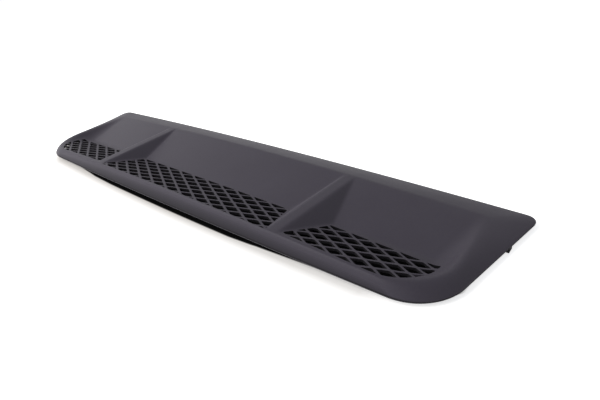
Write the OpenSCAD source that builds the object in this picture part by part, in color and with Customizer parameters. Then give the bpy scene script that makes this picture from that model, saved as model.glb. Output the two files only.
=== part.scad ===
// Air inlet cover: a one-piece moulded blister with three recessed pockets
// and a diamond grille moulded along the front of each pocket.
// Millimetres, +Z up, +Y to the rear, X along the length. The part is symmetric about X = 0.
// The origin is at the middle of the plan, level with the foot of the end tabs.

/* [Plan outline] */
// Length at the rear rim
body_l = 620; // [200:1:900]
// Depth from front rim to rear rim
body_d = 152; // [60:1:260]
// Inward slant of each end, run per unit of depth
end_slant = 0.16; // [0:0.01:0.4]
// Radius of the two front corners in plan
front_corner_r = 46; // [10:1:70]
// Radius of the two rear corners in plan
rear_corner_r = 9; // [3:0.5:30]
// How far the middle of the front rim stands ahead of its ends
front_bow = 6.2; // [0:0.1:20]

/* [Section] */
// Wall thickness of the moulding
wall = 2.6; // [1.5:0.1:5]
// Height of the upright edge around the rim
edge_h = 3; // [1:0.1:10]
// Rise of the rim from its ends to its middle
rim_arch = 4.5; // [0:0.1:12]
// Crest height above the middle of the rim, at the front
crest_front_h = 17.6; // [8:0.1:40]
// Crest height above the middle of the rim, at the rear
crest_rear_h = 14.8; // [6:0.1:40]
// Drop of the crest from the middle to the ends of the rim
crest_drop = 12.1; // [0:0.1:20]
// Width of the sloping border along the rear
rear_border = 32.2; // [10:0.1:60]
// Width of the shoulder along the front
front_border = 5.6; // [4:0.1:30]
// How far the rear crest line runs back towards its ends
rear_bow = 4.8; // [0:0.1:12]

/* [Pockets] */
// Distance of the deepest line behind the front rim
valley_y = 54.6; // [30:0.1:100]
// Height of the deepest line above the middle of the rim
valley_h = 3.6; // [0:0.1:12]
// Drop of the deepest line from the middle to the ends of the rim
valley_drop = 7.6; // [0:0.1:16]
// Rise of the grille towards the front, run to rise
grille_slope = 0.28; // [0.1:0.001:0.6]
// Width of the border from each end of the rim to the pocket row's deepest line
end_border = 41; // [20:0.5:120]
// Outward slope of the pocket end walls, run to rise
end_wall_run = 1.2; // [0.3:0.01:3]
// Radius of the outer front pocket corners at the deepest line
pocket_corner_r = 37; // [5:1:60]
// Distance of that corner's centre behind the front rim
pocket_corner_y = 59.3; // [20:0.1:100]

/* [Ridges] */
// Distance of each ridge from the middle
ridge_x = 141; // [60:0.5:220]
// Width of the flat band along each ridge
ridge_band = 11.4; // [4:0.1:30]
// Slope of the ridge flanks that face the ends, run to rise
ridge_run_out = 1.5; // [0.3:0.01:3]
// Slope of the ridge flanks that face the middle, run to rise
ridge_run_in = 1.33; // [0.3:0.01:3]
// Turn of each ridge in plan, degrees
ridge_turn = 2.2; // [0:0.1:10]

/* [Grille] */
// Pitch of the diamonds along the length
mesh_x = 23.2; // [8:0.1:40]
// Pitch of the diamonds from front to rear
mesh_y = 12.26; // [4:0.01:30]
// Width of the grille bars
mesh_bar = 2.6; // [1:0.1:6]
// Distance of one row of centred diamonds behind the front rim
mesh_row = 47; // [20:0.1:80]
// Plain margin left in front of the valley and behind the front shoulder
mesh_margin = 1.4; // [0.5:0.1:8]

// Radius of the grille's outer front corners
mesh_corner_r = 37; // [5:0.5:70]
// Distance of that corner's centre behind the front rim
mesh_corner_y = 48; // [20:0.5:90]

/* [Fixing] */
// Spacing of the screw bosses along the length
boss_dx = 282; // [100:1:400]
// Spacing of the screw bosses from front to rear
boss_dy = 85; // [40:1:110]
// Distance of the boss pattern's centre behind the middle of the plan
boss_y = -7; // [-40:0.5:40]
// Outer diameter of a screw boss
boss_d = 10; // [6:0.1:16]
// Pilot bore for a tapping screw
pilot_d = 3.3; // [2:0.1:6]
// Depth of the pilot bore
pilot_depth = 7.5; // [4:0.1:20]
// Length of the small locating tab under each end
tab_l = 7; // [3:0.5:20]
// Drop of that tab below the rim
tab_drop = 3; // [1:0.1:8]
// Thickness of that tab
tab_t = 2.4; // [1:0.1:5]
// Distance of the tabs behind the middle of the plan
tab_y = 29; // [-40:0.5:60]

/* [Hidden] */
half = body_l / 2;
pocket_half = half - end_border;
yf = -body_d / 2;
yr = body_d / 2;
tab_x = half - end_slant * (yr - tab_y) - tab_t + 0.6;
z0 = rim_arch * tab_x * tab_x / (half * half) + tab_drop;
n = 5;
k_rim = rim_arch / (half * half);
k_top = crest_drop / (half * half);
k_val = valley_drop / (half * half);
k_bow = front_bow / ((half - 24) * (half - 24));
k_rear = rear_bow / (pocket_half * pocket_half);
crest_yf = yf + front_border;
crest_yr = yr - rear_border;
val_y = yf + valley_y;
crest_fall = (crest_front_h - crest_rear_h) / (crest_yr - crest_yf);
// Rim corner centres: the front one touches both the slanting end and the front edge.
slant_len = sqrt(1 + end_slant * end_slant);
rcx = half - rear_corner_r;
rcy = yr - rear_corner_r;
fcy = yf + front_bow * 0.86 + front_corner_r;
fcx = half - end_slant * (yr - fcy) - front_corner_r * slant_len;
// Crest corner: just outside the pocket boundary.
ccx = pocket_half - pocket_corner_r;
ccy = yf + pocket_corner_y;
crest_r = pocket_corner_r + end_wall_run * 11.5;
bar_gap = mesh_x * mesh_y / sqrt(mesh_x * mesh_x + mesh_y * mesh_y);
cell = (bar_gap - mesh_bar) / bar_gap;
val_z = z0 + valley_h;
floor_slope = (crest_rear_h - valley_h) / (crest_yr - val_y);
// Grille columns to each side, and rows ahead of and behind the named one.
mesh_cols = floor(half / mesh_x) - 1;
mesh_rows_front = floor((mesh_row - 3.6) / (mesh_y / 2));
mesh_rows_rear = floor((valley_y - mesh_row) / (mesh_y / 2)) + 1;
// Clearances by which the cutting forms reach past the moulding.
past = 20;
deep = 80;
$fn = 48;

function rim_z(x) = z0 - k_rim * x * x;
function crest_z(x, y) = z0 + crest_front_h - crest_fall * (y - crest_yf) - k_top * x * x;
function valley_z(x) = val_z - k_val * x * x;

// Rim-to-crest profile: [inward share, upward share] from the edge top to the crest.
shoulder = [[0, 0], [0.22, 0.5], [0.55, 0.86], [1, 1]];

function mix(a, b, t) = a + (b - a) * t;

// Points of the front edge at one step of the profile.
function front_row(q, inset) = [for (i = [-n : n])
    let (x = fcx * i / n, y = mix(yf, crest_yf, q[0]) + k_bow * x * x + inset)
    [x, y, mix(rim_z(x) + edge_h, crest_z(x, crest_yf), q[1]) - inset * q[1]]];

// Points of one front corner at one step of the profile.
function corner_row(q, inset, s) = [for (a = [-78.75 : 11.25 : 0])
    let (r = mix(front_corner_r, crest_r, q[0]) - inset,
        x = mix(fcx, ccx, q[0]) + r * cos(a), y = mix(fcy, ccy, q[0]) + r * sin(a))
    [s * x, y, mix(rim_z(x) + edge_h, crest_z(x, y), q[1]) - inset * q[1]]];

// Points of the rear crest line.
function rear_crest(inset) = [for (i = [-n : n])
    let (x = (ccx + crest_r - inset) * i / n, y = crest_yr + k_rear * x * x)
    [x, y, crest_z(x, y) - inset]];

// Points of the rim's upper edge along the rear and round its corners.
function rear_edge(inset) = concat(
    [for (i = [-n : n]) let (x = rcx * i / n) [x, yr - inset, rim_z(x) + edge_h]],
    [for (s = [-1, 1], a = [-9, 0, 22.5, 45, 67.5])
        let (r = rear_corner_r - inset, x = rcx + r * cos(a))
        [s * x, rcy + r * sin(a), rim_z(x) + edge_h]]);

// The same points at the foot.
function foot(points, z) = [for (p = points) [p[0], p[1], z]];

// Outer form without pockets. The inset gives the inner form, lowered and drawn in.
module blister(inset, floor_z) {
    rim = concat(front_row(shoulder[0], inset), corner_row(shoulder[0], inset, 1),
        corner_row(shoulder[0], inset, -1), rear_edge(inset));
    rows = [for (q = shoulder, p = concat(front_row(q, inset), corner_row(q, inset, 1),
        corner_row(q, inset, -1))) p];
    points = concat(rows, rear_crest(inset), rear_edge(inset), foot(rim, floor_z));
    hull() polyhedron(points = points, faces = [[for (i = [0 : len(points) - 1]) i]]);
}

// Everything below a crown of the given curvature, drawn as 20 flat strips.
module crown(k) {
    w = half + past;
    rotate([90, 0, 0]) linear_extrude(body_d + 6.4 * past, center = true)
        polygon(concat([for (i = [-10 : 10]) [w * i / 10, -k * pow(w * i / 10, 2)]],
            [[w, -deep], [-w, -deep]]));
}

// Solid below a crowned surface that rises at the given slope from the valley.
module below(slope, k, drop) {
    translate([0, val_y, val_z - drop]) rotate([atan(slope), 0, 0]) crown(k);
}

// Space between the sloping end walls of the pocket row, with its rounded front corners.
module pocket_bound(grow) {
    low = val_z - k_val * pocket_half * pocket_half - 8;
    high = 60;
    r_low = pocket_corner_r + grow - end_wall_run * 8;
    r_high = r_low + end_wall_run * (high - low);
    hull() for (x = [-ccx, ccx], y = [ccy, yr + past / 5])
        translate([x, y, low])
            cylinder(h = high - low, r1 = r_low, r2 = r_high, $fn = 48);
}

// One ridge: a flat band with sloping flanks, tilted with the crest and turned in plan.
module ridge(shrink) {
    top = 60;
    low = 34;
    w = ridge_band / 2;
    z = crest_z(ridge_x, 0);
    c = 1.1 * shrink;
    reach = body_d / 2 + 2.2 * past;
    translate([ridge_x, 0, z]) rotate([-atan(crest_fall), 0, -ridge_turn])
        rotate([90, 0, 0]) translate([0, 0, -reach]) linear_extrude(2 * reach)
            polygon([[-w - ridge_run_in * low + c, -low], [w + ridge_run_out * low - c, -low],
                [w - c, 0], [w - c, top], [-w + c, top], [-w + c, 0]]);
}

module pockets(drop, grow) {
    difference() {
        pocket_bound(grow);
        ridge(grow);
        mirror([1, 0, 0]) ridge(grow);
        below(floor_slope, k_top, drop);
        below(-grille_slope, k_val, drop);
    }
}

// Diamonds of the grille in plan, cut by the boundary of each pocket.
module mesh_plan() {
    intersection() {
        for (j = [-mesh_rows_front : mesh_rows_rear], i = [-mesh_cols : mesh_cols]) {
            odd = abs(j) % 2;
            translate([(i + odd / 2) * mesh_x, yf + mesh_row + j * mesh_y / 2])
                polygon([[-mesh_x * cell / 2, 0], [0, -mesh_y * cell / 2],
                    [mesh_x * cell / 2, 0], [0, mesh_y * cell / 2]]);
        }
        mesh_field();
    }
}

// Plan of the three fields that the diamonds may occupy.
module mesh_field() {
    yb = val_y - 1;
    yt = yf + 3.6 + mesh_margin;
    in_b = ridge_x - ridge_band / 2 - 17 - mesh_margin;
    in_f = ridge_x - ridge_band / 2 - 1 - mesh_margin;
    out_b = ridge_x + ridge_band / 2 + 18.5 + mesh_margin;
    out_f = ridge_x + ridge_band / 2 - 2 + mesh_margin;
    polygon([[-in_b, yb], [in_b, yb], [in_f, yt], [-in_f, yt]]);
    for (s = [-1, 1]) scale([s, 1]) {
        polygon([[out_b, yb], [out_f, yt + 4], [ccx, yt + 4], [ccx, yb]]);
        intersection() {
            translate([ccx, yf + mesh_corner_y]) circle(r = mesh_corner_r, $fn = 72);
            translate([ccx, yt + 4]) square([mesh_corner_r + past, yb - yt - 4]);
        }
    }
}

module bosses() {
    for (x = [-1, 1], y = [-1, 1])
        translate([x * boss_dx / 2, boss_y + y * boss_dy / 2, rim_z(boss_dx / 2)])
            cylinder(h = 30, d = boss_d);
}

module pilots() {
    for (x = [-1, 1], y = [-1, 1])
        translate([x * boss_dx / 2, boss_y + y * boss_dy / 2, rim_z(boss_dx / 2) - 0.5])
            cylinder(h = pilot_depth + 0.5, d = pilot_d);
}

module tabs() {
    for (s = [-1, 1])
        translate([s * (tab_x + tab_t / 2), tab_y, rim_z(tab_x) + 1.5 - (tab_drop + 1.5) / 2])
            cube([tab_t, tab_l, tab_drop + 1.5], center = true);
}

// The shallow arch under the rim.
module arch() {
    translate([0, 0, z0]) crown(k_rim);
}

module cover() {
    color("#3c3b40")
    difference() {
        union() {
            difference() {
                blister(0, -4);
                arch();
                pockets(0, 0);
                difference() {
                    blister(wall, -6);
                    bosses();
                }
            }
            difference() {
                intersection() {
                    blister(0, -4);
                    pockets(wall, wall);
                }
                pockets(0, 0);
            }
            tabs();
        }
        translate([0, 0, -6]) linear_extrude(60) mesh_plan();
        pilots();
    }
}

cover();
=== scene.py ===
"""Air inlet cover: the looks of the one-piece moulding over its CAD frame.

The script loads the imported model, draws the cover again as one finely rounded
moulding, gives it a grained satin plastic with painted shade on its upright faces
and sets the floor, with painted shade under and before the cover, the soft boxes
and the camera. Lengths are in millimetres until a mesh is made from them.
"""

import logging
import math
from collections.abc import Callable, Sequence
from dataclasses import dataclass
from enum import Enum

import bpy
import numpy as np
from mathutils import Matrix, Vector
from mathutils.geometry import delaunay_2d_cdt

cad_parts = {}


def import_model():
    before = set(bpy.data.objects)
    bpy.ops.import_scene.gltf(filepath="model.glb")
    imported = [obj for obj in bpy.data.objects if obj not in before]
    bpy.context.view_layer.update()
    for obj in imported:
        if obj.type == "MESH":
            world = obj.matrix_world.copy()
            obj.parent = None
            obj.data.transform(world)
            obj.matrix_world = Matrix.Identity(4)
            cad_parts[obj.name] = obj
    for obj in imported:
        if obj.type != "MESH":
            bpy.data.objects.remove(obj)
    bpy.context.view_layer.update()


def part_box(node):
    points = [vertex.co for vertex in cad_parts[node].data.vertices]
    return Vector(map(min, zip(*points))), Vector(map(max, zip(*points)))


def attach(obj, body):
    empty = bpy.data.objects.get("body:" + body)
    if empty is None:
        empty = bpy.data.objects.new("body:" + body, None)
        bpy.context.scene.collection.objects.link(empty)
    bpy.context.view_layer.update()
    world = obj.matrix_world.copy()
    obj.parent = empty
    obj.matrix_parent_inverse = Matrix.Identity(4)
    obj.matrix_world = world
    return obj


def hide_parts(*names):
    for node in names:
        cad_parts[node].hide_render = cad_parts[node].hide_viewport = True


LOG = logging.getLogger("air_inlet_cover")
MM = 0.001
NODE = "cover"
BODY = "root"

Floats = np.ndarray
Points = Sequence[Sequence[float]]
Plan = list[tuple[float, float]]
Line = tuple[Floats, Floats]
Heights = Callable[[Floats, Floats], Floats]
Sockets = dict[str | int, object]
Colour = tuple[float, float, float] | bpy.types.NodeSocket


class Side(Enum):
    """The two ends of the cover."""

    LEFT = -1.0
    RIGHT = 1.0


@dataclass(frozen=True)
class CoverSizes:
    """The cover's sizes in millimetres, most of them named as in the part's source."""

    length: float = 620.0
    depth: float = 152.0
    end_slant: float = 0.16
    front_corner_r: float = 46.0
    rear_corner_r: float = 9.0
    front_bow: float = 6.2
    bow_inset: float = 24.0
    corner_bow: float = 0.86
    wall: float = 2.6
    edge_h: float = 3.0
    rim_arch: float = 4.5
    crest_front_h: float = 17.6
    crest_rear_h: float = 14.8
    crest_drop: float = 12.1
    rear_border: float = 32.2
    front_border: float = 5.6
    rear_bow: float = 4.8
    crest_corner_r: float = 6.0
    valley_y: float = 54.6
    valley_h: float = 3.6
    valley_drop: float = 7.6
    grille_slope: float = 0.28
    end_border: float = 41.0
    end_wall_run: float = 1.2
    end_wall_h: float = 11.5
    pocket_corner_r: float = 37.0
    pocket_corner_y: float = 59.3
    ridge_x: float = 141.0
    ridge_band: float = 11.4
    ridge_run_out: float = 1.5
    ridge_run_in: float = 1.33
    ridge_turn: float = 2.2
    mesh_x: float = 23.2
    mesh_y: float = 12.26
    mesh_bar: float = 2.6
    mesh_row: float = 47.0
    mesh_margin: float = 1.4
    mesh_corner_r: float = 37.0
    mesh_corner_y: float = 48.0
    boss_dx: float = 282.0
    boss_dy: float = 85.0
    boss_y: float = -7.0
    boss_d: float = 10.0
    pilot_d: float = 3.3
    pilot_depth: float = 7.5
    tab_l: float = 7.0
    tab_drop: float = 3.0
    tab_t: float = 2.4
    tab_y: float = 29.0
    tab_proud: float = 0.6
    edge_round: float = 0.9
    valley_round: float = 0.8
    wall_round: float = 8.0
    end_round: float = 1.3
    end_round_x: float = 205.0
    end_round_run: float = 40.0

    @property
    def half(self) -> float:
        """Half of the length at the rear rim."""
        return self.length / 2

    @property
    def front_y(self) -> float:
        """Place of the front rim at the middle."""
        return -self.depth / 2

    @property
    def rear_y(self) -> float:
        """Place of the rear rim."""
        return self.depth / 2

    @property
    def tab_x(self) -> float:
        """Inner face of the end tabs."""
        end = self.half - self.end_slant * (self.rear_y - self.tab_y)
        return end - self.tab_t + self.tab_proud

    @property
    def rim_z0(self) -> float:
        """Height of the rim's middle over the foot of the tabs."""
        return self.rim_arch * self.tab_x**2 / self.half**2 + self.tab_drop

    @property
    def valley_line(self) -> float:
        """Place of the deepest line of the pockets."""
        return self.front_y + self.valley_y

    @property
    def crest_front(self) -> float:
        """Place of the front crest line at the middle."""
        return self.front_y + self.front_border

    @property
    def crest_rear(self) -> float:
        """Place of the rear crest line at the middle."""
        return self.rear_y - self.rear_border

    @property
    def pocket_half(self) -> float:
        """Half of the length of the pocket row."""
        return self.half - self.end_border

    @property
    def mesh_corner_cy(self) -> float:
        """Centre of the grille's outer corner from front to rear."""
        return self.front_y + self.mesh_corner_y

    @property
    def pocket_cx(self) -> float:
        """Centre of the outer pocket corner along the length."""
        return self.pocket_half - self.pocket_corner_r

    @property
    def pocket_cy(self) -> float:
        """Centre of the outer pocket corner from front to rear."""
        return self.front_y + self.pocket_corner_y

    @property
    def crest_r(self) -> float:
        """Radius of the crest line at the front corners."""
        return self.pocket_corner_r + self.end_wall_run * self.end_wall_h

    @property
    def front_cy(self) -> float:
        """Centre of the rim's front corner from front to rear."""
        return self.front_y + self.front_bow * self.corner_bow + self.front_corner_r

    @property
    def front_cx(self) -> float:
        """Centre of the rim's front corner along the length."""
        end = self.half - self.end_slant * (self.rear_y - self.front_cy)
        return end - self.front_corner_r * math.sqrt(1 + self.end_slant**2)


def soft_max(a: Floats, b: Floats, r: float) -> Floats:
    """Takes the higher of two surfaces and fills the valley between them over a height r."""
    h = np.clip(0.5 + 0.5 * (a - b) / r, 0.0, 1.0)
    return b + (a - b) * h + r * h * (1.0 - h)


def soft_min(a: Floats, b: Floats, r: float) -> Floats:
    """Takes the lower of two surfaces and rounds the edge between them over a height r."""
    return -soft_max(-a, -b, r)


class CoverForm:
    """The moulding's surfaces as heights over its plan."""

    SLOPE_STEP = 0.5
    STEEPEST = 1.6

    def __init__(self, sizes: CoverSizes) -> None:
        """Keeps the sizes and works out the curvatures.

        Args:
            sizes: The cover's sizes.
        """
        self.s = sizes
        self.k_rim = sizes.rim_arch / sizes.half**2
        self.k_top = sizes.crest_drop / sizes.half**2
        self.k_val = sizes.valley_drop / sizes.half**2
        self.k_bow = sizes.front_bow / (sizes.half - sizes.bow_inset) ** 2
        self.k_rear = sizes.rear_bow / sizes.pocket_half**2
        self.val_z = sizes.rim_z0 + sizes.valley_h
        run = sizes.crest_rear - sizes.valley_line
        self.floor_slope = (sizes.crest_rear_h - sizes.valley_h) / run
        fall = sizes.crest_front_h - sizes.crest_rear_h
        self.crest_fall = fall / (sizes.crest_rear - sizes.crest_front)

    def rim(self, x: Floats) -> Floats:
        """Height of the rim's foot."""
        return self.s.rim_z0 - self.k_rim * x * x

    def crest(self, x: Floats, y: Floats) -> Floats:
        """Height of the crowned surface that the crests lie on."""
        top = self.s.rim_z0 + self.s.crest_front_h
        return top - self.crest_fall * (y - self.s.crest_front) - self.k_top * x * x

    def ridge(self, x: Floats, y: Floats) -> Floats:
        """Height of the ridge that is nearer to the point, flanks and all."""
        s = self.s
        turn = math.tan(math.radians(s.ridge_turn))
        across = np.abs(x) - (s.ridge_x + y * turn)
        top = self.crest(np.full_like(x, s.ridge_x), y)
        outer = top - (across - s.ridge_band / 2) / s.ridge_run_out
        inner = top + (across + s.ridge_band / 2) / s.ridge_run_in
        return soft_min(outer, inner, s.edge_round)

    def end_wall(self, x: Floats, y: Floats) -> Floats:
        """Height of the pocket row's sloping end wall and its round corner."""
        s = self.s
        base = self.val_z - self.k_val * s.pocket_half**2
        dx = np.maximum(np.abs(x) - s.pocket_cx, 0.0)
        dy = np.maximum(s.pocket_cy - y, 0.0)
        away = np.hypot(dx, dy)
        return base + (away - s.pocket_corner_r) / s.end_wall_run

    def grille(self, x: Floats, y: Floats) -> Floats:
        """Height of the grille in front of the valley."""
        rise = self.s.grille_slope * (self.s.valley_line - y)
        return self.val_z + rise - self.k_val * x * x

    def floor(self, x: Floats, y: Floats) -> Floats:
        """Height of the pocket floors and the grille, with the valley between them."""
        rise = self.floor_slope * (y - self.s.valley_line)
        back = self.val_z + rise - self.k_top * x * x
        return soft_max(back, self.grille(x, y), self.s.valley_round)

    def top(self, x: Floats, y: Floats) -> Floats:
        """Height of the upper surface inside the crest line."""
        s = self.s
        low = soft_max(self.floor(x, y), self.end_wall(x, y), s.wall_round)
        low = soft_max(low, self.ridge(x, y), s.valley_round)
        far = np.clip((np.abs(x) - s.end_round_x) / s.end_round_run, 0.0, 1.0)
        return soft_min(self.crest(x, y), low, s.edge_round + s.end_round * far)

    def under(self, x: Floats, y: Floats) -> Floats:
        """Height of the lower surface: the upper one less the wall."""
        step = self.SLOPE_STEP
        gx = (self.top(x + step, y) - self.top(x - step, y)) / (2 * step)
        gy = (self.top(x, y + step) - self.top(x, y - step)) / (2 * step)
        steep = np.minimum(np.sqrt(1.0 + gx * gx + gy * gy), self.STEEPEST)
        return self.top(x, y) - self.s.wall * steep


@dataclass
class Outline:
    """One closed line around the cover: its plan and how round its shoulder is."""

    x: Floats
    y: Floats
    roundness: Floats


@dataclass(frozen=True)
class OutlineMaker:
    """Draws matching closed lines, so that rings between them make clean quads."""

    form: CoverForm

    FRONT = 220
    CORNER = 26
    END = 44
    REAR_CORNER = 7
    REAR = 120
    TANGENT_ROUNDS = 8
    REAR_EASE = 6

    def _assemble(self, front: Line, corner: Line, rear_corner: Line, rear: Line) -> Outline:
        """Joins the stretches of the right half with their mirror images.

        Args:
            front: Front stretch, from left to right.
            corner: Right front corner, from the front to the end.
            rear_corner: Right rear corner, from the end to the rear.
            rear: Rear stretch, from right to left.

        Returns:
            The closed line, anticlockwise from the left end of the front.
        """
        cx, cy = corner
        rx, ry = rear_corner
        steps = np.linspace(0.0, 1.0, self.END + 2)[1:-1]
        ex = cx[-1] + (rx[0] - cx[-1]) * steps
        ey = cy[-1] + (ry[0] - cy[-1]) * steps
        x = np.concatenate([front[0], cx, ex, rx, rear[0], -rx[::-1], -ex[::-1], -cx[::-1]])
        y = np.concatenate([front[1], cy, ey, ry, rear[1], ry[::-1], ey[::-1], cy[::-1]])
        fade = 1.0 - steps
        full, flat = np.ones_like(cx), np.zeros_like(rx)
        right = [np.ones_like(front[0]), full, fade, flat, np.zeros_like(rear[0])]
        return Outline(x, y, np.concatenate([*right, flat, fade[::-1], full]))

    def rim_line(self, inset: float) -> Outline:
        """The rim's line, drawn in by an inset.

        Args:
            inset: Distance from the rim's outside.

        Returns:
            The closed line.
        """
        s = self.form.s
        slant = math.atan(s.end_slant)
        fcx, fcy, tilt = s.front_cx, s.front_cy, 0.0
        for _ in range(self.TANGENT_ROUNDS):
            touch = fcx + s.front_corner_r * math.sin(tilt)
            tilt = math.atan(2 * self.form.k_bow * touch)
            fcy = s.front_y + self.form.k_bow * touch**2 + s.front_corner_r * math.cos(tilt)
            fcx = s.half - s.end_slant * (s.rear_y - fcy) - s.front_corner_r / math.cos(slant)
        r = s.front_corner_r - inset
        touch = fcx + r * math.sin(tilt)
        fx = np.linspace(-touch, touch, self.FRONT + 2)[1:-1]
        fy = s.front_y + self.form.k_bow * fx * fx + inset
        a = np.linspace(tilt - math.pi / 2, -slant, self.CORNER)
        corner = (fcx + r * np.cos(a), fcy + r * np.sin(a))
        b = np.linspace(-slant, math.pi / 2, self.REAR_CORNER)
        q = s.rear_corner_r - inset
        cx, cy = s.half - s.rear_corner_r, s.rear_y - s.rear_corner_r
        rear_corner = (cx + q * np.cos(b), cy + q * np.sin(b))
        rx = np.linspace(cx, -cx, self.REAR + 2)[1:-1]
        ry = np.full_like(rx, s.rear_y - inset)
        return self._assemble((fx, fy), corner, rear_corner, (rx, ry))

    def crest_line(self, inset: float) -> Outline:
        """The crest's line around the pockets, drawn in by an inset.

        Args:
            inset: Distance from the crest line on the upper side.

        Returns:
            The closed line.
        """
        s = self.form.s
        tilt = 0.0
        for _ in range(self.TANGENT_ROUNDS):
            tilt = math.atan(2 * self.form.k_bow * (s.pocket_cx + s.crest_r * math.sin(tilt)))
        touch = s.pocket_cx + s.crest_r * math.sin(tilt)
        ccy = s.crest_front + self.form.k_bow * touch**2 + s.crest_r * math.cos(tilt)
        r = s.crest_r - inset
        touch = s.pocket_cx + r * math.sin(tilt)
        fx = np.linspace(-touch, touch, self.FRONT + 2)[1:-1]
        fy = s.crest_front + self.form.k_bow * fx * fx + inset
        a = np.linspace(tilt - math.pi / 2, 0.0, self.CORNER)
        corner = (s.pocket_cx + r * np.cos(a), ccy + r * np.sin(a))
        small = s.crest_corner_r
        end = s.pocket_cx + r
        back = s.crest_rear + self.form.k_rear * end * end
        b = np.linspace(0.0, math.pi / 2, self.REAR_CORNER)
        cx, cy = end - small, back - small - inset
        rear_corner = (cx + small * np.cos(b), cy + small * np.sin(b))
        rx = np.linspace(cx, -cx, self.REAR + 2)[1:-1]
        ry = s.crest_rear + self.form.k_rear * rx * rx - inset
        ry = ry - (ry[0] - rear_corner[1][-1]) * (np.abs(rx) / abs(rx[0])) ** self.REAR_EASE
        return self._assemble((fx, fy), corner, rear_corner, (rx, ry))


@dataclass
class Shell:
    """Vertices and faces of one closed skin, in millimetres."""

    ROW_SHARE = 0.9
    CLEARANCE = 0.45
    SAME = 1e-6

    points: list[tuple[float, float, float]]
    faces: list[tuple[int, ...]]

    def ring(self, x: Floats, y: Floats, z: Floats) -> list[int]:
        """Adds a ring of points.

        Args:
            x: Places along the length.
            y: Places from front to rear.
            z: Heights.

        Returns:
            The new points' numbers.
        """
        first = len(self.points)
        self.points.extend(zip(x.tolist(), y.tolist(), z.tolist(), strict=True))
        return list(range(first, len(self.points)))

    def join(self, lower: Sequence[int], upper: Sequence[int]) -> None:
        """Closes the strip between two rings of the same count.

        Args:
            lower: The outer or lower ring.
            upper: The inner or upper ring.
        """
        n = len(lower)
        for i in range(n):
            j = (i + 1) % n
            self.faces.append((lower[i], lower[j], upper[j], upper[i]))

    def fill(self, ring: Sequence[int], heights: Heights, pitch: float, up: bool) -> None:
        """Fills the inside of a ring with a fine net that follows a surface.

        Args:
            ring: The ring's points.
            heights: Heights of the surface over the plan.
            pitch: Spacing of the net.
            up: True where the net's outside faces up.
        """
        edge = np.array([self.points[i][:2] for i in ring])
        low, high = edge.min(0), edge.max(0)
        gx = np.arange(low[0] + pitch, high[0], pitch)
        gy = np.arange(low[1] + pitch, high[1], pitch * self.ROW_SHARE)
        px, py = (a.ravel() for a in np.meshgrid(gx, gy))
        keep = inside(px, py, edge) & (distance(px, py, edge) > self.CLEARANCE * pitch)
        px, py = px[keep], py[keep]
        flat = [Vector(p) for p in edge] + [Vector(p) for p in np.column_stack([px, py])]
        net = delaunay_2d_cdt(flat, [], [list(range(len(ring)))], 1, self.SAME)
        known = [*ring, *self.ring(px, py, heights(px, py))]
        number = [known[min(origin)] for origin in net[3]]
        for triangle in net[2]:
            face = tuple(number[k] for k in triangle)
            self.faces.append(face if up else face[::-1])


def inside(px: Floats, py: Floats, edge: Floats) -> Floats:
    """Tells which points lie inside a closed line.

    Args:
        px: Places along the length.
        py: Places from front to rear.
        edge: The closed line's points.

    Returns:
        True for each point inside.
    """
    hit = np.zeros(len(px), bool)
    for (x0, y0), (x1, y1) in zip(edge, np.roll(edge, -1, axis=0), strict=True):
        if y0 == y1:
            continue
        cross = (py < max(y0, y1)) & (py >= min(y0, y1))
        hit ^= cross & (px < x0 + (py - y0) * (x1 - x0) / (y1 - y0))
    return hit


def distance(px: Floats, py: Floats, edge: Floats) -> Floats:
    """Gives each point's distance from a closed line.

    Args:
        px: Places along the length.
        py: Places from front to rear.
        edge: The closed line's points.

    Returns:
        The distances.
    """
    best = np.full(len(px), np.inf)
    for (x0, y0), (x1, y1) in zip(edge, np.roll(edge, -1, axis=0), strict=True):
        dx, dy = x1 - x0, y1 - y0
        t = np.clip(((px - x0) * dx + (py - y0) * dy) / (dx * dx + dy * dy), 0.0, 1.0)
        best = np.minimum(best, np.hypot(px - x0 - t * dx, py - y0 - t * dy))
    return best


def mesh_object(name: str, points: Points, faces: Sequence[Sequence[int]]) -> bpy.types.Object:
    """Makes an object from points in millimetres.

    Args:
        name: The object's name.
        points: Its points.
        faces: Its faces.

    Returns:
        The new object, linked to the scene.
    """
    mesh = bpy.data.meshes.new(name)
    scaled = (np.array(points, dtype=float) * MM).tolist()
    mesh.from_pydata(scaled, [], [list(f) for f in faces])
    mesh.validate()
    mesh.update()
    obj = bpy.data.objects.new(name, mesh)
    bpy.context.scene.collection.objects.link(obj)
    return obj


def settle(obj: bpy.types.Object) -> None:
    """Turns an object's modifiers into its mesh.

    Args:
        obj: The object.
    """
    graph = bpy.context.evaluated_depsgraph_get()
    done = bpy.data.meshes.new_from_object(obj.evaluated_get(graph))
    obj.modifiers.clear()
    old = obj.data
    obj.data = done
    bpy.data.meshes.remove(old)


def combine(obj: bpy.types.Object, other: bpy.types.Object, operation: str) -> None:
    """Cuts, joins or trims one closed object with another and removes the other.

    Args:
        obj: The object that stays.
        other: The object that is used up.
        operation: DIFFERENCE, UNION or INTERSECT.
    """
    step = obj.modifiers.new("combine", "BOOLEAN")
    step.object = other
    step.operation = operation
    step.solver = "MANIFOLD"
    settle(obj)
    bpy.data.objects.remove(other)


def stack(name: str, rings: Sequence[Points]) -> bpy.types.Object:
    """Makes a closed object from matching rings.

    Args:
        name: The object's name.
        rings: The rings, anticlockwise and from the foot up, in millimetres.

    Returns:
        The object.
    """
    n = len(rings[0])
    points = [point for ring in rings for point in ring]
    last = len(points) - n
    faces: list[tuple[int, ...]] = [tuple(range(n))[::-1]]
    for a in range(0, last, n):
        faces += [(a + i, a + (i + 1) % n, a + n + (i + 1) % n, a + n + i) for i in range(n)]
    faces.append(tuple(range(last, len(points))))
    return mesh_object(name, points, faces)


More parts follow.
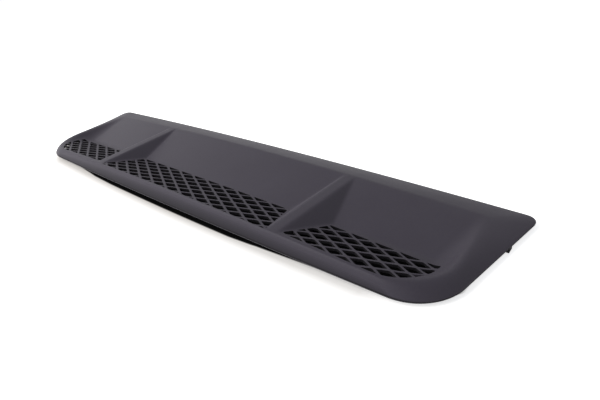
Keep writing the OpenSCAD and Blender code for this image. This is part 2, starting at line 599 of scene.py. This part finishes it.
def prism(name: str, plan: Points, low: float, high: float) -> bpy.types.Object:
    """Makes an upright prism from its plan, anticlockwise, its foot and its top."""
    return stack(name, [[(x, y, z) for x, y in plan] for z in (low, high)])


class NodeTree:
    """A node tree that is built step by step."""

    def __init__(self, tree: bpy.types.NodeTree) -> None:
        """Starts on an existing tree.

        Args:
            tree: The tree.
        """
        self.tree = tree

    def node(self, kind: str, settings: dict[str, object], sockets: Sockets) -> bpy.types.Node:
        """Adds a node, with its settings and what its sockets hold.

        Args:
            kind: The node's type.
            settings: Its settings by name.
            sockets: Values or links of its sockets, by name or number.

        Returns:
            The node.
        """
        made = self.tree.nodes.new(kind)
        for key, value in settings.items():
            setattr(made, key, value)
        self.feed(made, sockets)
        return made

    def feed(self, node: bpy.types.Node, sockets: Sockets) -> None:
        """Sets or links the sockets of a node.

        Args:
            node: The node.
            sockets: Values or links of its sockets, by name or number.
        """
        for key, value in sockets.items():
            raw = value.socket if isinstance(value, Maths) else value
            if isinstance(raw, bpy.types.NodeSocket):
                self.tree.links.new(raw, node.inputs[key])
            else:
                node.inputs[key].default_value = raw


class GeometryTree(NodeTree):
    """A Geometry Nodes tree with named inputs."""

    def __init__(self, name: str) -> None:
        """Starts an empty tree with a geometry input and output.

        Args:
            name: The tree's name.
        """
        super().__init__(bpy.data.node_groups.new(name, "GeometryNodeTree"))
        for way in ("INPUT", "OUTPUT"):
            self.tree.interface.new_socket("Geometry", in_out=way, socket_type="NodeSocketGeometry")
        self.inp = self.node("NodeGroupInput", {}, {})
        self.values: dict[str, float] = {}

    def number(self, name: str, value: float) -> bpy.types.NodeSocket:
        """Adds a named number input.

        Args:
            name: The input's name.
            value: Its value on the modifier.

        Returns:
            The socket that carries it inside the tree.
        """
        item = self.tree.interface.new_socket(name, in_out="INPUT", socket_type="NodeSocketFloat")
        self.values[item.identifier] = value
        return self.inp.outputs[name]

    def run(self, obj: bpy.types.Object, result: bpy.types.NodeSocket) -> None:
        """Runs the tree on an object, keeps what it makes and drops the tree.

        Args:
            obj: The object.
            result: The geometry that leaves the tree.
        """
        self.node("NodeGroupOutput", {}, {"Geometry": result})
        step = obj.modifiers.new(self.tree.name, "NODES")
        step.node_group = self.tree
        for identifier, value in self.values.items():
            step[identifier] = value
        settle(obj)
        bpy.data.node_groups.remove(self.tree)


@dataclass(frozen=True)
class Unit:
    """A form to repeat: its mesh, its material and the size it is drawn out to."""

    shape: bpy.types.Object
    material: bpy.types.Material
    width: float
    depth: float
    height: float


def spread(name: str, points: Points, unit: Unit) -> bpy.types.Object:
    """Sets one unit at each of a list of points, through Geometry Nodes.

    Args:
        name: The new object's name.
        points: Places in millimetres.
        unit: The form to repeat, whose mesh is used up.

    Returns:
        One object that holds all the copies.
    """
    holder = mesh_object(name, points, [])
    t = GeometryTree(name + "_spread")
    sizes = {
        "X": t.number("Width", unit.width),
        "Y": t.number("Depth", unit.depth),
        "Z": t.number("Height", unit.height),
    }
    drawn = t.node("ShaderNodeCombineXYZ", {}, sizes).outputs["Vector"]
    shape = t.node("GeometryNodeObjectInfo", {}, {"Object": unit.shape}).outputs["Geometry"]
    cloud = t.node("GeometryNodeMeshToPoints", {}, {"Mesh": t.inp.outputs["Geometry"]})
    places = {"Points": cloud.outputs["Points"], "Instance": shape, "Scale": drawn}
    copies = t.node("GeometryNodeInstanceOnPoints", {}, places)
    real = t.node("GeometryNodeRealizeInstances", {}, {"Geometry": copies.outputs["Instances"]})
    coat = {"Geometry": real.outputs["Geometry"], "Material": unit.material}
    t.run(holder, t.node("GeometryNodeSetMaterial", {}, coat).outputs["Geometry"])
    bpy.data.objects.remove(unit.shape)
    LOG.info("%s: %d copies", name, len(points))
    return holder


@dataclass(frozen=True)
class Maker:
    """Makes shapes that follow the moulding's surfaces."""

    form: CoverForm
    plastic: bpy.types.Material

    @property
    def s(self) -> CoverSizes:
        """The cover's sizes."""
        return self.form.s


@dataclass(frozen=True)
class GrilleCutter(Maker):
    """The holes of the diamond grille, with a small flare at their upper rims."""

    foot: float = -12.0
    top: float = 6.0
    flare: float = 0.5
    flare_width: float = 2.2
    rounded: tuple[float, ...] = (0.09, 0.13, 0.09, 0.13)
    rows: range = range(-7, 3)
    columns: range = range(-12, 13)
    field: tuple[float, float] = (-8.0, 40.0)
    rear_gap: float = 1.0
    front_gap: float = 5.4
    outer_gap: float = 4.0
    middle_ends: tuple[float, float] = (17.0, 1.0)
    outer_ends: tuple[float, float] = (18.5, -2.0)
    arc_points: int = 18
    close: float = 0.05

    def _diamond(self) -> Unit:
        """Makes one hole: straight below the surface and flared at it."""
        s = self.s
        gap = s.mesh_x * s.mesh_y / math.hypot(s.mesh_x, s.mesh_y)
        cell = (gap - s.mesh_bar) / gap
        wide = (gap - s.mesh_bar + self.flare_width * self.flare) / gap
        levels = [(self.foot, cell), (-self.flare, cell), (self.flare, wide), (self.top, wide)]
        rings = [[(x, y, z) for x, y in self._soft_diamond(k / 2)] for z, k in levels]
        return Unit(stack("diamond", rings), self.plastic, s.mesh_x, s.mesh_y, 1.0)

    def _soft_diamond(self, a: float) -> Plan:
        """Draws a diamond with slightly rounded corners.

        Args:
            a: Half of its width and depth.

        Returns:
            Its points, anticlockwise.
        """
        tips = [(a, 0.0), (0.0, a), (-a, 0.0), (0.0, -a)]
        out: Plan = []
        for i, (x, y) in enumerate(tips):
            px, py = tips[i - 1]
            nx, ny = tips[(i + 1) % len(tips)]
            t = self.rounded[i]
            start = (x + (px - x) * t, y + (py - y) * t)
            end = (x + (nx - x) * t, y + (ny - y) * t)
            mid = ((start[0] + end[0] + 2 * x) / 4, (start[1] + end[1] + 2 * y) / 4)
            out += [start, mid, end]
        return out

    def _fields(self) -> list[Plan]:
        """Plans of the three fields that hold the diamonds."""
        s, m = self.s, self.s.mesh_margin
        rear = s.valley_line - self.rear_gap
        front = s.front_y + self.front_gap + m
        inner, outer = s.ridge_x - s.ridge_band / 2, s.ridge_x + s.ridge_band / 2
        in_rear, in_front = (inner - gap - m for gap in self.middle_ends)
        out_rear, out_front = (outer + gap + m for gap in self.outer_ends)
        middle = [(-in_front, front), (in_front, front), (in_rear, rear), (-in_rear, rear)]
        low = front + self.outer_gap
        r = s.mesh_corner_r
        start = math.asin(max(-1.0, (low - s.mesh_corner_cy) / r))
        stop = math.asin((rear - s.mesh_corner_cy) / r)
        arc = [
            (s.pocket_cx + r * math.cos(a), s.mesh_corner_cy + r * math.sin(a))
            for a in np.linspace(start, stop, self.arc_points)
        ]
        right = [(out_front, low), (s.pocket_cx, low), *arc, (out_rear, rear)]
        far = [math.dist(p, q) > self.close for p, q in zip(right[1:], right, strict=False)]
        right = [p for p, kept in zip(right, [True, *far], strict=True) if kept]
        left = [(-x, y) for x, y in reversed(right)]
        return [middle, right, left]

    def make(self) -> bpy.types.Object:
        """Makes the cutter for all the holes.

        Returns:
            One closed object.
        """
        s = self.s
        j, i = (a.ravel() for a in np.meshgrid(self.rows, self.columns, indexing="ij"))
        x = (i + j % 2 / 2) * s.mesh_x
        y = s.front_y + s.mesh_row + j * s.mesh_y / 2
        places = np.column_stack([x, y, self.form.grille(x, y)]).tolist()
        cutter = spread("grille_cutter", places, self._diamond())
        first, *others = self._fields()
        field = prism("grille_field", first, *self.field)
        for k, plan in enumerate(others):
            combine(field, prism(f"grille_field_{k}", plan, *self.field), "UNION")
        combine(cutter, field, "INTERSECT")
        return cutter


@dataclass(frozen=True)
class CoverMaker(Maker):
    """Makes the cover's fine mesh."""

    rim_insets: tuple[float, ...] = (1.55, 0.95, 0.5, 0.2, 0.05, 0.0)
    rim_lifts: tuple[float, ...] = (0.0, 0.08, 0.24, 0.46, 0.7, 0.92)
    shoulder_steps: int = 10
    shoulder_start: float = 0.02
    shoulder_ease: float = 1.35
    round_powers: tuple[float, float] = (1.7, 0.95)
    slope_swell: float = 0.055
    inner_shares: tuple[float, ...] = (0.0, 0.25, 0.55, 1.0)
    inner_drop: float = 0.55
    net: float = 1.7
    under_net: float = 4.0
    room_net: float = 12.0
    room_inset: float = 8.0
    room_foot: float = -5.0
    room_depth: float = 1.0
    boss_sides: int = 32
    boss_height: float = 30.0
    boss_lip: float = 0.4
    bore_lip: float = 0.35
    tab_root: float = 1.5
    tab_soft: float = 0.35
    sharp_deg: float = 32.0

    @property
    def lines(self) -> OutlineMaker:
        """The lines around the cover."""
        return OutlineMaker(self.form)

    def _slope(self, share: float, rim: Outline, crest: Outline, ends: Line) -> Sequence[Floats]:
        """Finds the points of the shoulder at a share of its run.

        Args:
            share: Share of the run, from the rim to the crest.
            rim: The rim's line, which also says where the shoulder is round.
            crest: The crest's line.
            ends: Heights of the two lines.

        Returns:
            The points' places and heights.
        """
        inner, outer = self.round_powers
        full = (1.0 - (1.0 - share) ** inner) ** outer
        eased = share + self.slope_swell * math.sin(math.pi * share)
        rise = full * rim.roundness + eased * (1.0 - rim.roundness)
        z = ends[0] + (ends[1] - ends[0]) * rise
        return rim.x + (crest.x - rim.x) * share, rim.y + (crest.y - rim.y) * share, z

    def _upper(self, shell: Shell) -> list[int]:
        """Adds the outside of the rim, the shoulder and the upper surface.

        Args:
            shell: The skin to add to.

        Returns:
            The ring at the rim's foot.
        """
        rings = []
        for inset, lift in zip(self.rim_insets, self.rim_lifts, strict=True):
            line = self.lines.rim_line(inset)
            rings.append(shell.ring(line.x, line.y, self.form.rim(line.x) + self.s.edge_h * lift))
        rim, crest = self.lines.rim_line(0.0), self.lines.crest_line(0.0)
        ends = (self.form.rim(rim.x) + self.s.edge_h, self.form.top(crest.x, crest.y))
        for k in range(self.shoulder_steps + 1):
            eased = (k / self.shoulder_steps) ** self.shoulder_ease
            share = self.shoulder_start + (1.0 - self.shoulder_start) * eased
            rings.append(shell.ring(*self._slope(share, rim, crest, ends)))
        for lower, upper in zip(rings, rings[1:], strict=False):
            shell.join(lower, upper)
        shell.fill(rings[-1], self.form.top, self.net, True)
        return rings[0]

    def _lower(self, shell: Shell, foot: list[int]) -> None:
        """Adds the foot's lower face, the inside of the rim and the lower surface.

        Args:
            shell: The skin to add to.
            foot: The ring at the rim's foot.
        """
        wall = self.s.wall
        rim, crest = self.lines.rim_line(wall), self.lines.crest_line(wall)
        foot_z = self.form.rim(rim.x)
        edge_z = foot_z + self.s.edge_h - wall * self.inner_drop
        ends = (edge_z, self.form.under(crest.x, crest.y))
        rings = [foot, shell.ring(rim.x, rim.y, foot_z)]
        for share in self.inner_shares:
            rings.append(shell.ring(*self._slope(share, rim, crest, ends)))
        for outer, inner in zip(rings, rings[1:], strict=False):
            shell.join(inner, outer)
        shell.fill(rings[-1], self.form.under, self.under_net, False)

    def _tube(self) -> Unit:
        """Makes one screw boss with its blind bore, standing on its mouth."""
        s = self.s
        turn = np.linspace(0.0, 2 * math.pi, self.boss_sides, endpoint=False)
        bore, outer, lip = s.pilot_d / s.boss_d / 2, 0.5, self.boss_lip / s.boss_d
        profile = [
            (bore, s.pilot_depth),
            (bore, self.bore_lip),
            (bore + lip, 0.0),
            (outer - lip, 0.0),
            (outer, self.boss_lip),
            (outer, self.boss_height),
        ]
        rings = [[(r * math.cos(a), r * math.sin(a), z) for a in turn] for r, z in profile]
        return Unit(stack("boss", rings), self.plastic, s.boss_d, s.boss_d, 1.0)

    def _room_top(self, x: Floats, y: Floats) -> Floats:
        """Height that the bosses stop at, inside the wall."""
        return self.form.top(x, y) - self.room_depth

    def _bosses(self) -> bpy.types.Object:
        """Makes the four screw bosses, trimmed inside the moulding's wall."""
        s = self.s
        z = float(self.form.rim(np.array(s.boss_dx / 2)))
        xs, ys = ((-d / 2, d / 2) for d in (s.boss_dx, s.boss_dy))
        places = [(x, s.boss_y + y, z) for x in xs for y in ys]
        bosses = spread("bosses", places, self._tube())
        shell = Shell([], [])
        crest = self.lines.crest_line(self.room_inset)
        low = shell.ring(crest.x, crest.y, np.full_like(crest.x, self.room_foot))
        high = shell.ring(crest.x, crest.y, self._room_top(crest.x, crest.y))
        shell.join(low, high)
        shell.fill(high, self._room_top, self.under_net, True)
        shell.fill(low, lambda x, _: np.full_like(x, self.room_foot), self.room_net, False)
        combine(bosses, mesh_object("boss_room", shell.points, shell.faces), "INTERSECT")
        return bosses

    def _tabs(self) -> bpy.types.Object:
        """Makes the locating tab under each end."""
        s = self.s
        top = float(self.form.rim(np.array(s.tab_x))) + self.tab_root
        block = prism("tab", [(-0.5, -0.5), (0.5, -0.5), (0.5, 0.5), (-0.5, 0.5)], -1.0, 0.0)
        unit = Unit(block, self.plastic, s.tab_t, s.tab_l, s.tab_drop + self.tab_root)
        x = s.tab_x + s.tab_t / 2
        tabs = spread("tabs", [(side.value * x, s.tab_y, top) for side in Side], unit)
        step = tabs.modifiers.new("soften", "BEVEL")
        step.width = self.tab_soft * MM
        step.segments = 2
        settle(tabs)
        return tabs

    def make(self) -> bpy.types.Object:
        """Makes the whole cover as one closed mesh.

        Returns:
            The cover.
        """
        shell = Shell([], [])
        foot = self._upper(shell)
        self._lower(shell, foot)
        cover = mesh_object("cover_moulding", shell.points, shell.faces)
        combine(cover, self._bosses(), "UNION")
        combine(cover, GrilleCutter(self.form, self.plastic).make(), "DIFFERENCE")
        combine(cover, self._tabs(), "UNION")
        cover.data.materials.clear()
        cover.data.materials.append(self.plastic)
        for face in cover.data.polygons:
            face.use_smooth = True
            face.material_index = 0
        cover.data.set_sharp_from_angle(angle=math.radians(self.sharp_deg))
        LOG.info("cover mesh: %d faces", len(cover.data.polygons))
        return cover


@dataclass(frozen=True)
class MouldedPlastic:
    """Finish of the grained moulding, and the painted shade on its upright faces."""

    colour: tuple[float, float, float] = (0.0415, 0.036, 0.0475)
    worn_colour: tuple[float, float, float] = (0.055, 0.049, 0.062)
    # Painted shade: the near-black colour of upright faces, chiefly the grille's hole walls, where
    # little light gets in.
    painted_wall_shade: tuple[float, float, float] = (0.008, 0.007, 0.009)
    ior: float = 1.5
    specular: float = 0.15
    roughness: float = 0.52
    cloud_roughness: float = 0.09
    grain_roughness: float = 0.08
    wall_roughness: float = 0.25
    wall_rise: float = 0.4
    wall_rate: float = 4.0
    worn_share: float = 0.4
    cloud_tint: float = 0.9
    speck_tint: float = 0.35
    cloud_size_mm: float = 45.0
    grain_size_mm: float = 0.45
    speck_grains: float = 4.0
    grain_depth_mm: float = 0.035
    grain_share: float = 0.7


@dataclass(frozen=True)
class Maths:
    """A value in a shader tree that takes part in plain sums."""

    tree: NodeTree
    socket: bpy.types.NodeSocket | float

    def _step(self, operation: str, other: "Maths | float", clamp: bool = False) -> "Maths":
        """Adds one maths node.

        Args:
            operation: The node's operation.
            other: The second value.
            clamp: True to keep the result between 0 and 1.

        Returns:
            The result.
        """
        settings = {"operation": operation, "use_clamp": clamp}
        made = self.tree.node("ShaderNodeMath", settings, {0: self, 1: other})
        return Maths(self.tree, made.outputs[0])

    def __add__(self, other: "Maths | float") -> "Maths":
        """Adds two values."""
        return self._step("ADD", other)

    def __radd__(self, other: float) -> "Maths":
        """Adds this value to a number."""
        return self + other

    def __sub__(self, other: "Maths | float") -> "Maths":
        """Takes one value from another."""
        return self._step("SUBTRACT", other)

    def __rsub__(self, other: float) -> "Maths":
        """Takes this value from a number."""
        return Maths(self.tree, float(other)) - self

    def __mul__(self, other: "Maths | float") -> "Maths":
        """Multiplies two values."""
        return self._step("MULTIPLY", other)

    def __rmul__(self, other: float) -> "Maths":
        """Multiplies a number by this value."""
        return self * other

    def positive(self) -> "Maths":
        """Raises the value to zero where it is less."""
        return self._step("MAXIMUM", 0.0)

    def size(self) -> "Maths":
        """Drops the value's sign."""
        return self._step("ABSOLUTE", 0.0)

    def clamped(self) -> "Maths":
        """Keeps the value between 0 and 1."""
        return self._step("ADD", 0.0, clamp=True)

    def ramp(self, start: float, rate: float) -> "Maths":
        """Rises from 0 at a start and stays at 1; below 0, the rate makes it rise backwards."""
        return ((self - start) * rate).clamped()


class ShaderTree(NodeTree):
    """The shader tree of a material or a world."""

    def __init__(self, owner: bpy.types.Material | bpy.types.World) -> None:
        """Starts on the owner's tree.

        Args:
            owner: The material or world.
        """
        owner.use_nodes = True
        super().__init__(owner.node_tree)

    def split(self, vector: bpy.types.NodeSocket) -> list[Maths]:
        """Splits a vector's socket into its three parts."""
        parts = self.node("ShaderNodeSeparateXYZ", {}, {0: vector})
        return [Maths(self, part) for part in parts.outputs]

    def blend(self, share: Maths, low: Colour, high: Colour) -> bpy.types.NodeSocket:
        """Blends two colours.

        Args:
            share: Share of the second colour.
            low: The first colour.
            high: The second colour.

        Returns:
            The blended colour's socket.
        """
        ends = [(*end, 1.0) if isinstance(end, tuple) else end for end in (low, high)]
        sockets = {"Factor": share, "A": ends[0], "B": ends[1]}
        return self.node("ShaderNodeMix", {"data_type": "RGBA"}, sockets).outputs["Result"]

    def seen(self) -> Maths:
        """Tells the rays of the camera and of gloss and glass from all others."""
        path = self.node("ShaderNodeLightPath", {}, {})
        kinds = ("Is Camera Ray", "Is Glossy Ray", "Is Transmission Ray")
        camera, glossy, through = (Maths(self, path.outputs[kind]) for kind in kinds)
        return (camera + glossy + through).clamped()


@dataclass(frozen=True)
class PlasticMaker:
    """Builds the moulding's material: the grained plastic and the painted shade on its upright
    faces.
    """

    finish_and_shade: MouldedPlastic

    @staticmethod
    def _noise(t: ShaderTree, size_mm: float, detail: float) -> Maths:
        """Adds noise of a real size.

        Args:
            t: The shader tree.
            size_mm: Size of one grain.
            detail: How many finer layers it has.

        Returns:
            The noise, from 0 to 1.
        """
        point = t.node("ShaderNodeTexCoord", {}, {}).outputs["Object"]
        sockets = {"Vector": point, "Scale": 1.0 / (size_mm * MM), "Detail": detail}
        return Maths(t, t.node("ShaderNodeTexNoise", {}, sockets).outputs["Fac"])

    def make(self, name: str) -> bpy.types.Material:
        """Builds the material.

        Args:
            name: The material's name.

        Returns:
            The material.
        """
        f = self.finish_and_shade
        material = bpy.data.materials.new(name)
        t = ShaderTree(material)
        grain = self._noise(t, f.grain_size_mm, 2.0)
        speck = self._noise(t, f.grain_size_mm * f.speck_grains, 1.0)
        cloud = self._noise(t, f.cloud_size_mm, 3.0)
        facing = t.split(t.node("ShaderNodeNewGeometry", {}, {}).outputs["True Normal"])[2]
        # Upright faces, such as the hole walls and the rim's edge, get painted shade in their
        # colour and more roughness.
        upright = facing.size().ramp(f.wall_rise, -f.wall_rate)
        tint = (cloud - 0.5) * f.cloud_tint + (speck - 0.5) * f.speck_tint + f.worn_share
        colour = t.blend(upright, t.blend(tint.clamped(), f.colour, f.worn_colour), f.painted_wall_shade)
        rough = (cloud - 0.5) * f.cloud_roughness + (grain - 0.5) * f.grain_roughness
        rough = rough + upright * f.wall_roughness + f.roughness
        height = grain * f.grain_share + speck * (1.0 - f.grain_share)
        relief = {"Distance": f.grain_depth_mm * MM, "Strength": 1.0, "Height": height}
        bump = t.node("ShaderNodeBump", {}, relief).outputs["Normal"]
        t.feed(
            t.tree.nodes["Principled BSDF"],
            {
                "Base Color": colour,
                "Roughness": rough.clamped(),
                "Normal": bump,
                "IOR": f.ior,
                "Specular IOR Level": f.specular,
            },
        )
        LOG.info("material %s: %d nodes", name, len(t.tree.nodes))
        return material


@dataclass(frozen=True)
class SoftBox:
    """One soft area lamp."""

    name: str
    place: tuple[float, float, float]
    target: tuple[float, float, float]
    size: tuple[float, float]
    watts: float


@dataclass(frozen=True)
class Studio:
    """The pale floor with its painted shade, the soft lamps, the world and the camera."""

    form: CoverForm

    LENS_MM = 27.647
    SENSOR_MM = 36.0
    NEAREST = 0.01
    WHITE = (1.0, 1.0, 1.0, 1.0)
    SKY = (0.9, 0.93, 1.0, 1.0)
    SKY_STRENGTH = 0.36
    FLOOR_HALF = 3000.0
    FLOOR_GAP = 0.2
    FLOOR_LIFT = 0.7
    FLOOR_ROUGHNESS = 0.9
    FLOOR = (0.93, 0.92, 0.9)
    # Painted shadow: the warm soft colour on the floor before the front rim.
    SHADE = (0.58, 0.545, 0.505)
    SHADE_DIM = 0.85
    # Painted shade: near black for the floor under the cover's rim and grille.
    GAP_SHADE = (0.005, 0.005, 0.005)
    # The floor's painted shades, in metres: a ramp is a start and a rate, a step has a height too.
    CORNER_FROM = 0.245
    CORNER_BEND = 14.0
    GAP_START = 0.0006
    GAP_RATE = 800.0
    GAP_RIGHT = ((0.085, 30.0, 0.0018), (0.112, 14.0, 0.0034))
    GAP_LEFT = ((-0.12, -20.0, 0.0013), (-0.16, -20.0, 0.0038))
    GAP_LEFT_END = (-0.29, 60.0)
    GAP_LEFT_SLANT = (0.002, 200.0)
    GAP_RIGHT_END = (0.292, -200.0)
    GAP_REAR = (0.0705, -90.0)
    SHADE_RATE = 30.0
    SHADE_LEFT = (-0.335, 25.0)
    SHADE_RIGHT = (0.31, -12.0)
    SHADE_REAR = (0.002, -40.0)
    SHADE_FULL = 0.95
    SHADE_FADE = 1.2
    CAMERA_PLACE = (0.37623, -0.28098, 0.24482)
    CAMERA_RIGHT = (0.77195792, 0.62460684, -0.11809854)
    CAMERA_UP = (-0.25522095, 0.47469577, 0.84233378)
    LAMPS = (
        SoftBox("key", (-0.7, -1.0, 1.0), (0.0, 0.0, 0.0), (1.2, 1.2), 26.0),
        SoftBox("fill", (-1.5, 0.0, 0.9), (0.0, 0.0, 0.0), (1.2, 1.2), 4.0),
    )

    def world(self) -> None:
        """Makes the world: white to the eye, and a low cool light."""
        world = bpy.data.worlds.new("studio")
        bpy.context.scene.world = world
        t = ShaderTree(world)
        light = t.tree.nodes["Background"]
        t.feed(light, {"Color": self.SKY, "Strength": self.SKY_STRENGTH})
        white = t.node("ShaderNodeBackground", {}, {"Color": self.WHITE, "Strength": 1.0})
        both = {0: t.seen(), 1: light.outputs[0], 2: white.outputs[0]}
        mix = t.node("ShaderNodeMixShader", {}, both)
        t.feed(t.tree.nodes["World Output"], {"Surface": mix.outputs[0]})

    def floor(self) -> None:
        """Makes the white floor, which takes the cover's cast shadow and painted shade under and
        before it.
        """
        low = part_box(NODE)[0][2] / MM - self.FLOOR_GAP
        w = self.FLOOR_HALF
        plan = [(-w, -w, low), (w, -w, low), (w, w, low), (-w, w, low)]
        floor = mesh_object("floor", plan, [(0, 1, 2, 3)])
        floor.data.materials.append(self._floor_paint())

    def _shades(self, t: ShaderTree) -> tuple[Maths, Maths]:
        """Maps the floor's two painted shades: dark under the cover and soft before it.

        Args:
            t: The floor's shader tree.

        Returns:
            The share of the dark and of the soft painted shade.
        """
        x, y, _ = t.split(t.node("ShaderNodeTexCoord", {}, {}).outputs["Object"])
        s = self.form.s
        corner = (x.size() - self.CORNER_FROM).positive()
        bow = x * x * (self.form.k_bow / MM)
        behind = y + s.rear_y * MM - bow - corner * corner * self.CORNER_BEND
        # The dark share paints near-black shade on the floor under the rim and the grille.
        sides = (self.GAP_RIGHT, self.GAP_LEFT)
        steps = [[x.ramp(start, rate) * high for start, rate, high in side] for side in sides]
        right, left = (first + second for first, second in steps)
        edge = behind - right - left * x.ramp(*self.GAP_LEFT_END)
        end = x + (s.half * MM - (s.rear_y * MM - y) * s.end_slant)
        dark = edge.ramp(self.GAP_START, self.GAP_RATE) * end.ramp(*self.GAP_LEFT_SLANT)
        dark = dark * x.ramp(*self.GAP_RIGHT_END) * y.ramp(*self.GAP_REAR)
        # The soft share paints a soft shadow before the front rim, fainter to the right.
        soft = (1.0 + behind * self.SHADE_RATE).clamped()
        soft = soft * x.ramp(*self.SHADE_RIGHT) * x.ramp(*self.SHADE_LEFT)
        fade = self.SHADE_FULL - x.positive() * self.SHADE_FADE
        return dark, soft * soft * y.ramp(*self.SHADE_REAR) * fade

    def _floor_paint(self) -> bpy.types.Material:
        """Makes the floor's paint: white, with near-black painted shade under the cover and a soft
        painted shadow before it.

        Returns:
            The material.
        """
        material = bpy.data.materials.new("floor_white")
        t = ShaderTree(material)
        shader = t.tree.nodes["Principled BSDF"]
        dark, soft = self._shades(t)
        # The soft painted shadow is shown to the camera's rays only.
        soft = soft * Maths(t, t.node("ShaderNodeLightPath", {}, {}).outputs["Is Camera Ray"])
        paint = t.blend(dark, t.blend(soft, self.FLOOR, self.SHADE), self.GAP_SHADE)
        matt = {"Roughness": self.FLOOR_ROUGHNESS, "Specular IOR Level": 0.0}
        t.feed(shader, {"Base Color": paint, **matt})
        # The floor's white glow is taken away where shade is painted.
        lift = t.seen() * (1.0 - dark) * (1.0 - soft * self.SHADE_DIM) * self.FLOOR_LIFT
        glow = t.node("ShaderNodeEmission", {}, {"Strength": lift})
        both = t.node("ShaderNodeAddShader", {}, {0: shader.outputs[0], 1: glow.outputs[0]})
        t.feed(t.tree.nodes["Material Output"], {"Surface": both.outputs[0]})
        return material

    def lamps(self) -> None:
        """Sets the soft lamps."""
        for box in self.LAMPS:
            light = bpy.data.lights.new(box.name, "AREA")
            light.shape = "RECTANGLE"
            light.size, light.size_y = box.size
            light.energy = box.watts
            lamp = bpy.data.objects.new(box.name, light)
            lamp.location = box.place
            aim = Vector(box.target) - Vector(box.place)
            lamp.rotation_euler = aim.to_track_quat("-Z", "Y").to_euler()
            bpy.context.scene.collection.objects.link(lamp)

    def camera(self) -> None:
        """Sets the camera at the photograph's viewing angle."""
        data = bpy.data.cameras.new("view")
        data.sensor_width = self.SENSOR_MM
        data.sensor_fit = "HORIZONTAL"
        data.lens = self.LENS_MM
        data.clip_start = self.NEAREST
        camera = bpy.data.objects.new("view", data)
        right, up = Vector(self.CAMERA_RIGHT), Vector(self.CAMERA_UP)
        back = right.cross(up)
        turn = Matrix((right, up, back)).transposed().to_4x4()
        camera.matrix_world = Matrix.Translation(self.CAMERA_PLACE) @ turn
        bpy.context.scene.collection.objects.link(camera)
        bpy.context.scene.camera = camera


def main() -> None:
    """Dresses the cover and sets the scene."""
    logging.basicConfig(level=logging.INFO)
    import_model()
    scene = bpy.context.scene
    scene.view_settings.view_transform = "Standard"
    form = CoverForm(CoverSizes())
    studio = Studio(form)
    studio.camera()
    studio.world()
    studio.floor()
    studio.lamps()
    plastic = PlasticMaker(MouldedPlastic()).make("grained_black_plastic")
    cover = CoverMaker(form, plastic).make()
    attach(cover, BODY)
    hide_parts(NODE)


if __name__ == "__main__":
    main()
